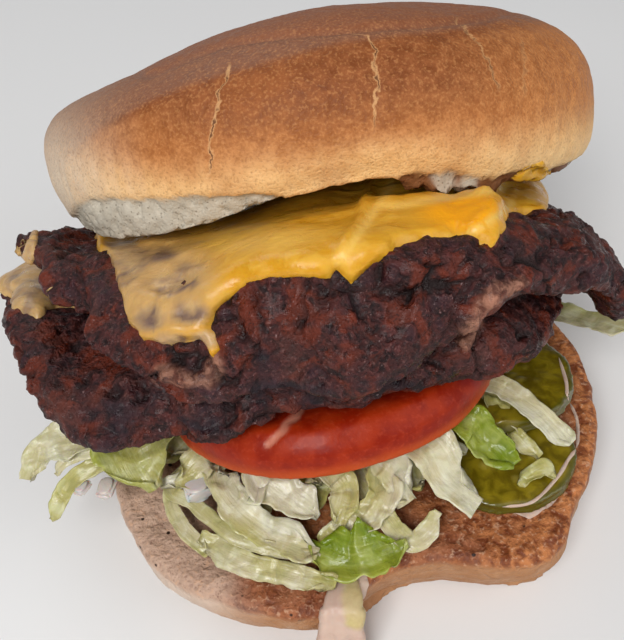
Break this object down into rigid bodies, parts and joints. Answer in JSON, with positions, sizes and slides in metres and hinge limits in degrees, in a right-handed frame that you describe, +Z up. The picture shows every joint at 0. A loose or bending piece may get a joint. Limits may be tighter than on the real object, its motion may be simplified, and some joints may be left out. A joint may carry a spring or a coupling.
{
  "type": "hamburger",
  "caption": "Cheeseburger in a round bun, gaping at the front: griddled beef patties, melted cheese, a tomato slice, shredded lettuce, pickle chips and a drip of pink sauce.",
  "frame": {"origin": "centre of the heel's flat underside, where the burger stands", "axes": "+Z up, -Y towards the open front, +X to the burger's right as seen from the front"},
  "size_m": [0.1355, 0.1388, 0.0945],
  "materials": {
    "bun_crown": "golden brown baked crust with a satin sheen, paler towards the rim",
    "bun_heel": "toasted, browned crumb with darker specks and a pale rim",
    "patty": "coarse griddled beef, charred at its edges and glistening with fat",
    "cheese": "melted golden yellow cheese, soft gloss",
    "tomato": "wet red skin and flesh",
    "pickle": "wet olive green slices",
    "lettuce": "shredded leaf from white ribs to fresh green, waxy gloss",
    "sauce": "thick pale pink sauce"
  },
  "bodies": {
    "root": {"bun_heel": "bun_heel", "sauce": "sauce", "pickle_1": "pickle", "pickle_2": "pickle", "lettuce": "lettuce", "tomato": "tomato", "patty_lower": "patty", "cheese_lower": "cheese", "patty_upper": "patty", "cheese_upper": "cheese", "bun_crown": "bun_crown"}
  },
  "joints": []
}
